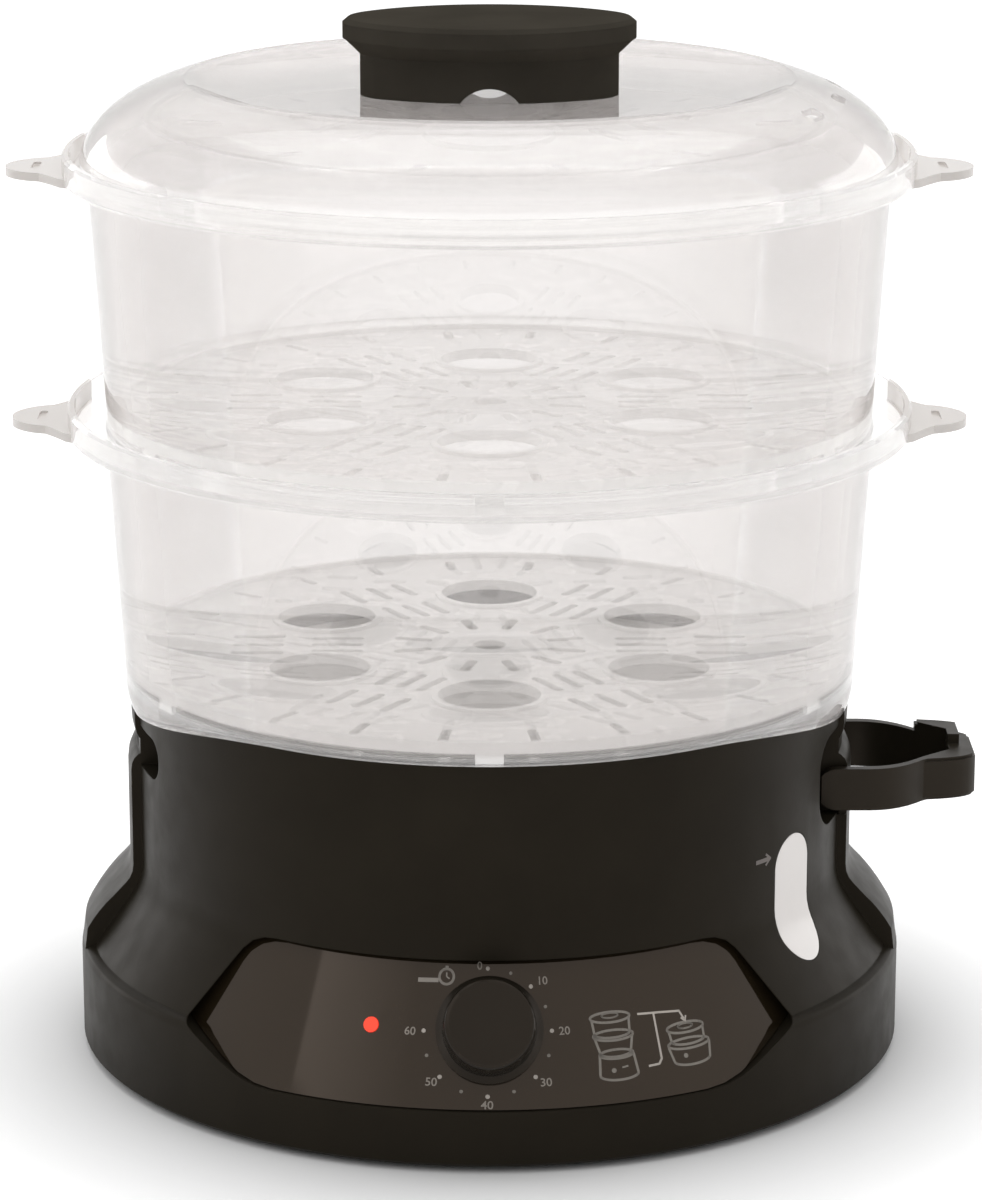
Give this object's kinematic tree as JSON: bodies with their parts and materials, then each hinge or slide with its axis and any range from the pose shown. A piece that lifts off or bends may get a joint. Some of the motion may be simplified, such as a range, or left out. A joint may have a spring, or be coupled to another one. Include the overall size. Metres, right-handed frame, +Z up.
{
  "type": "egg cooker",
  "caption": "Electric steamer and egg cooker: black base with timer panel and water window, swing-out storage clip, stacked clear bowls with ears and a clear domed lid",
  "frame": {"origin": "Centre of the circle on which the four feet stand, on the surface that it stands on; it lies on the axis of the round base and bowls, and within 2.5 mm of the centre of the bounding box's underside", "axes": "+Z up; -Y is the front with the timer panel; +X is to the right seen from the front, where the storage clip swings out"},
  "size_m": [0.2895, 0.2618, 0.3104],
  "materials": {
    "body_plastic": "black polypropylene with a soft satin gloss",
    "cover_plastic": "black polypropylene, fine matt texture",
    "tank_plastic": "black heat-resistant polypropylene, smooth",
    "facia_gloss": "black panel, high gloss",
    "knob_plastic": "black, high gloss",
    "clear_plastic": "clear polycarbonate, polished",
    "grid_plastic": "clear polycarbonate, lightly frosted",
    "tray_plastic": "milky translucent polypropylene",
    "window_plastic": "milky translucent polypropylene, smooth",
    "gasket_rubber": "pale silicone rubber",
    "seal_silicone": "red-brown silicone rubber",
    "foot_rubber": "black rubber, matt",
    "screw_steel": "zinc-plated steel",
    "heater_metal": "cast aluminium, satin",
    "heating_tube_metal": "heat-tinted steel sheath",
    "ceramic": "glazed off-white ceramic",
    "fuse_metal": "plain aluminium can",
    "terminal_plastic": "off-white nylon",
    "timer_case": "tan moulded case",
    "lens_red": "orange-red clear lens",
    "lamp_glass": "neon lamp, clear glass"
  },
  "bodies": {
    "base": {"base_body": "body_plastic", "bottom_cover": "cover_plastic", "feet": "foot_rubber", "cover_screws": "screw_steel", "water_tank": "tank_plastic", "tank_screws": "screw_steel", "heater_plate": "heater_metal", "heater_gasket": "seal_silicone", "heating_tube": "heating_tube_metal", "heater_clamp": "screw_steel", "thermostat": "ceramic", "thermal_fuse": "fuse_metal", "terminal_block": "terminal_plastic", "cord_grommet": "foot_rubber", "level_window": "window_plastic", "window_gasket": "gasket_rubber", "facia": "facia_gloss", "timer_body": "timer_case", "timer_nut": "screw_steel", "lamp_lens": "lens_red", "pilot_lamp": "lamp_glass"},
    "timer": {"timer_shaft": "screw_steel", "timer_knob": "knob_plastic"},
    "clip": {"storage_clip": "body_plastic"},
    "turbo": {"turbo_ring": "tray_plastic"},
    "tray": {"drip_tray": "tray_plastic"},
    "bowl_1": {"lower_bowl": "clear_plastic"},
    "grid_1": {"lower_grid": "grid_plastic"},
    "bowl_2": {"upper_bowl": "clear_plastic"},
    "grid_2": {"upper_grid": "grid_plastic"},
    "cover": {"lid": "clear_plastic", "lid_handle": "body_plastic", "handle_screws": "screw_steel"}
  },
  "joints": [
    {"name": "timer_dial", "type": "hinge", "parent": "base", "child": "timer", "pos_m": [0, -0.11359, 0.03845], "axis": [0, -0.8829, 0.4695], "range_deg": [-270, 0]},
    {"name": "clip_hinge", "type": "hinge", "parent": "base", "child": "clip", "pos_m": [0.10412, 0, 0.0826], "axis": [0, -1, 0], "range_deg": [0, 60]},
    {"name": "turbo_ring_lift", "type": "slide", "parent": "base", "child": "turbo", "axis": [0, 0, 1], "range_m": [0, 0.06]},
    {"name": "tray_lift", "type": "slide", "parent": "turbo", "child": "tray", "axis": [0, 0, 1], "range_m": [0, 0.06]},
    {"name": "lower_bowl_lift", "type": "slide", "parent": "tray", "child": "bowl_1", "axis": [0, 0, 1], "range_m": [0, 0.06]},
    {"name": "lower_grid_lift", "type": "slide", "parent": "bowl_1", "child": "grid_1", "axis": [0, 0, 1], "range_m": [0, 0.09]},
    {"name": "upper_bowl_lift", "type": "slide", "parent": "grid_1", "child": "bowl_2", "axis": [0, 0, 1], "range_m": [0, 0.06]},
    {"name": "upper_grid_lift", "type": "slide", "parent": "bowl_2", "child": "grid_2", "axis": [0, 0, 1], "range_m": [0, 0.09]},
    {"name": "lid_lift", "type": "slide", "parent": "grid_2", "child": "cover", "axis": [0, 0, 1], "range_m": [0, 0.06]}
  ]
}
